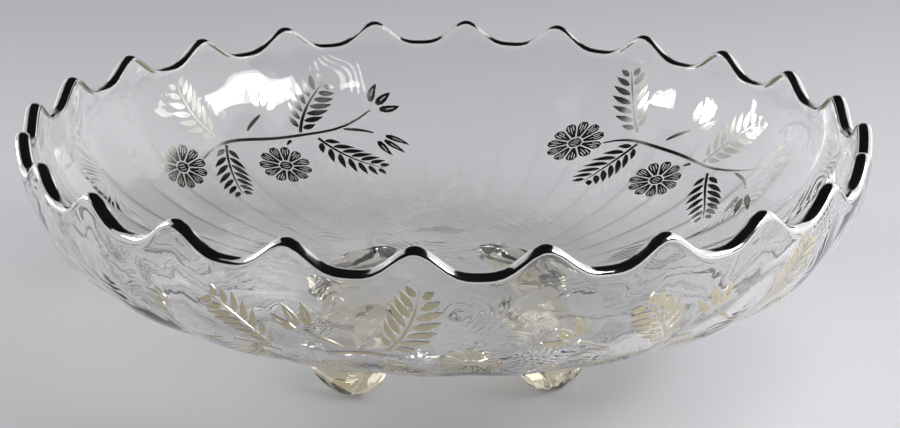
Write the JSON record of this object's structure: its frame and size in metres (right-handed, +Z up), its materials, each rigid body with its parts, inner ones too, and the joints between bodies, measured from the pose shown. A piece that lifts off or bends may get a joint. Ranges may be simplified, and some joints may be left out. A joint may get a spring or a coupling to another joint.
{
  "type": "footed bowl",
  "caption": "Clear pressed glass bowl on shell-shaped feet, with a scalloped lip under a silver band and sprays of silver film on the inside wall.",
  "frame": {"origin": "on the table, under the middle of the bowl", "axes": "+Z up along the bowl's axis, +X through a crease between two lobes; feet at 45, 135, 225 and 315 degrees"},
  "size_m": [0.305, 0.305, 0.0924],
  "materials": {
    "bowl_glass": "clear, fire polished",
    "foot_glass": "clear, moulded ribs",
    "silver": "polished electroplated silver"
  },
  "bodies": {
    "root": {"glass_bowl": "bowl_glass", "silver_rim_band": "silver", "glass_foot_1": "foot_glass", "glass_foot_2": "foot_glass", "glass_foot_3": "foot_glass", "glass_foot_4": "foot_glass", "spray_1_stem": "silver", "spray_1_leaves": "silver", "spray_1_blossoms": "silver", "spray_1_buds": "silver", "spray_2_stem": "silver", "spray_2_leaves": "silver", "spray_2_blossoms": "silver", "spray_2_buds": "silver", "spray_3_stem": "silver", "spray_3_leaves": "silver", "spray_3_blossoms": "silver", "spray_3_buds": "silver", "spray_4_stem": "silver", "spray_4_leaves": "silver", "spray_4_blossoms": "silver", "spray_4_buds": "silver"}
  },
  "joints": []
}
